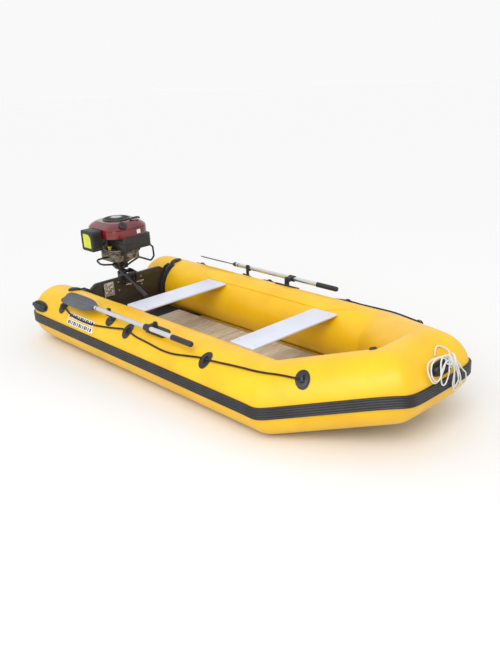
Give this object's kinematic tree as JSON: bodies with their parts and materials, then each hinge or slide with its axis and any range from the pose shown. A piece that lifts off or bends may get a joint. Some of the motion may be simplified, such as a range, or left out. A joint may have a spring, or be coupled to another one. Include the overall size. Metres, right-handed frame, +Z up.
{
  "type": "inflatable dinghy",
  "caption": "Inflatable dinghy with bench seats, rigid floor, stowed oars, grab lines, a rope painter and a small air-cooled tiller outboard on the transom.",
  "frame": {"origin": "on the floor under the middle of the boat's bounding box, without the rope hank", "axes": "+X to the bow, +Y to port, +Z up"},
  "size_m": [3.6746, 1.636, 0.9553],
  "materials": {
    "hull_yellow": "gloss",
    "bottom_dark": "matte",
    "black_rubber": "satin",
    "board_wood": "satin",
    "transom_wood": "satin",
    "bare_aluminium": "satin",
    "seat_white": "satin",
    "steel": "satin",
    "black_rope": "matte",
    "white_rope": "matte",
    "black_plastic": "matte",
    "grey_plastic": "matte",
    "black_paint": "satin",
    "cowl_red": "gloss",
    "oil_yellow": "gloss",
    "stop_red": "gloss",
    "clear_film": "gloss"
  },
  "bodies": {
    "hull": {"air_valves": "black_plastic", "bow_handle": "black_rubber", "bow_quarter_port": "hull_yellow", "bow_quarter_starboard": "hull_yellow", "bow_tube": "hull_yellow", "clamp_bracket": "black_paint", "floor_board_bow": "board_wood", "floor_board_middle": "board_wood", "floor_board_stern": "board_wood", "grab_line_port": "black_rope", "grab_line_starboard": "black_rope", "hull_bottom": "bottom_dark", "line_holders": "black_rubber", "oar_clips": "black_plastic", "painter_hank": "white_rope", "parts_pouch": "clear_film", "rowlocks": "black_plastic", "seat_rail_port": "hull_yellow", "seat_rail_starboard": "hull_yellow", "stern_cone_port": "hull_yellow", "stern_cone_starboard": "hull_yellow", "stern_handles": "black_rubber", "strake_bow": "black_rubber", "strake_port": "black_rubber", "strake_starboard": "black_rubber", "stringer_port": "bare_aluminium", "stringer_starboard": "bare_aluminium", "transom_board": "transom_wood", "transom_bolts": "steel", "transom_holder_port": "black_rubber", "transom_holder_starboard": "black_rubber", "tube_port": "hull_yellow", "tube_starboard": "hull_yellow"},
    "oar_starboard": {"oar_shaft_starboard": "bare_aluminium", "oar_blade_starboard": "grey_plastic", "oar_grip_starboard": "black_rubber", "oar_collar_starboard": "black_plastic"},
    "oar_port": {"oar_shaft_port": "bare_aluminium", "oar_blade_port": "grey_plastic", "oar_grip_port": "black_rubber", "oar_collar_port": "black_plastic"},
    "seat_rear": {"seat_rear": "seat_white"},
    "seat_front": {"seat_front": "seat_white"},
    "clamp_screw_starboard": {"clamp_screw_starboard": "steel"},
    "clamp_screw_port": {"clamp_screw_port": "steel"},
    "swivel": {"swivel_bracket": "black_paint"},
    "powerhead": {"drive_leg": "black_paint", "guard_frame": "black_paint", "crankcase": "bare_aluminium", "fuel_tank": "black_plastic", "cowl": "cowl_red", "recoil_cover": "black_plastic", "muffler": "black_paint"},
    "propeller": {"propeller": "bare_aluminium"},
    "recoil_handle": {"recoil_handle": "black_plastic"},
    "fuel_cap": {"fuel_cap": "black_plastic"},
    "oil_cap": {"oil_cap": "oil_yellow"},
    "stop_button": {"stop_button": "stop_red"},
    "tiller": {"tiller_arm": "black_paint"},
    "throttle_grip": {"tiller_grip": "black_rubber"}
  },
  "joints": [
    {"name": "oar_starboard_swing", "type": "hinge", "parent": "hull", "child": "oar_starboard", "pos_m": [-0.09, -0.662, 0.478], "axis": [0, 0, 1], "range_deg": [0, 95]},
    {"name": "oar_port_swing", "type": "hinge", "parent": "hull", "child": "oar_port", "pos_m": [-0.09, 0.662, 0.478], "axis": [0, 0, -1], "range_deg": [0, 95]},
    {"name": "seat_rear_slide", "type": "slide", "parent": "hull", "child": "seat_rear", "axis": [1, 0, 0], "range_m": [-0.03, 0.15]},
    {"name": "seat_front_slide", "type": "slide", "parent": "hull", "child": "seat_front", "axis": [1, 0, 0], "range_m": [-0.15, 0.05]},
    {"name": "clamp_screw_starboard_turn", "type": "hinge", "parent": "hull", "child": "clamp_screw_starboard", "pos_m": [-1.3, -0.056, 0.395], "axis": [1, 0, 0], "range_deg": [-360, 0]},
    {"name": "clamp_screw_port_turn", "type": "hinge", "parent": "hull", "child": "clamp_screw_port", "pos_m": [-1.3, 0.056, 0.395], "axis": [1, 0, 0], "range_deg": [-360, 0]},
    {"name": "motor_tilt", "type": "hinge", "parent": "hull", "child": "swivel", "pos_m": [-1.432, 0, 0.47], "axis": [0, 1, 0], "range_deg": [0, 25]},
    {"name": "motor_steer", "type": "hinge", "parent": "swivel", "child": "powerhead", "pos_m": [-1.47, 0, 0.4], "axis": [0, 0, 1], "range_deg": [-20, 35]},
    {"name": "propeller_spin", "type": "hinge", "parent": "powerhead", "child": "propeller", "pos_m": [-1.568, 0, 0.092], "axis": [1, 0, 0], "continuous": true},
    {"name": "recoil_pull", "type": "slide", "parent": "powerhead", "child": "recoil_handle", "axis": [1, 0, 0], "range_m": [0, 0.45], "stiffness_N_per_m": 30},
    {"name": "fuel_cap_turn", "type": "hinge", "parent": "powerhead", "child": "fuel_cap", "pos_m": [-1.2775, -0.07, 0.9075], "axis": [0.7071, 0, 0.7071], "range_deg": [0, 180]},
    {"name": "oil_cap_turn", "type": "hinge", "parent": "powerhead", "child": "oil_cap", "pos_m": [-1.44, -0.118, 0.7], "axis": [0, 0, 1], "range_deg": [0, 180]},
    {"name": "stop_button_press", "type": "slide", "parent": "powerhead", "child": "stop_button", "axis": [-1, 0, 0], "range_m": [0, 0.003], "stiffness_N_per_m": 500},
    {"name": "tiller_fold", "type": "hinge", "parent": "powerhead", "child": "tiller", "pos_m": [-1.35, -0.13, 0.562], "axis": [-0.136, -0.9907, 0], "range_deg": [0, 50]},
    {"name": "throttle_twist", "type": "hinge", "parent": "tiller", "child": "throttle_grip", "pos_m": [-1.35, -0.13, 0.562], "axis": [0.9512, -0.1306, -0.2798], "range_deg": [0, 70]}
  ]
}
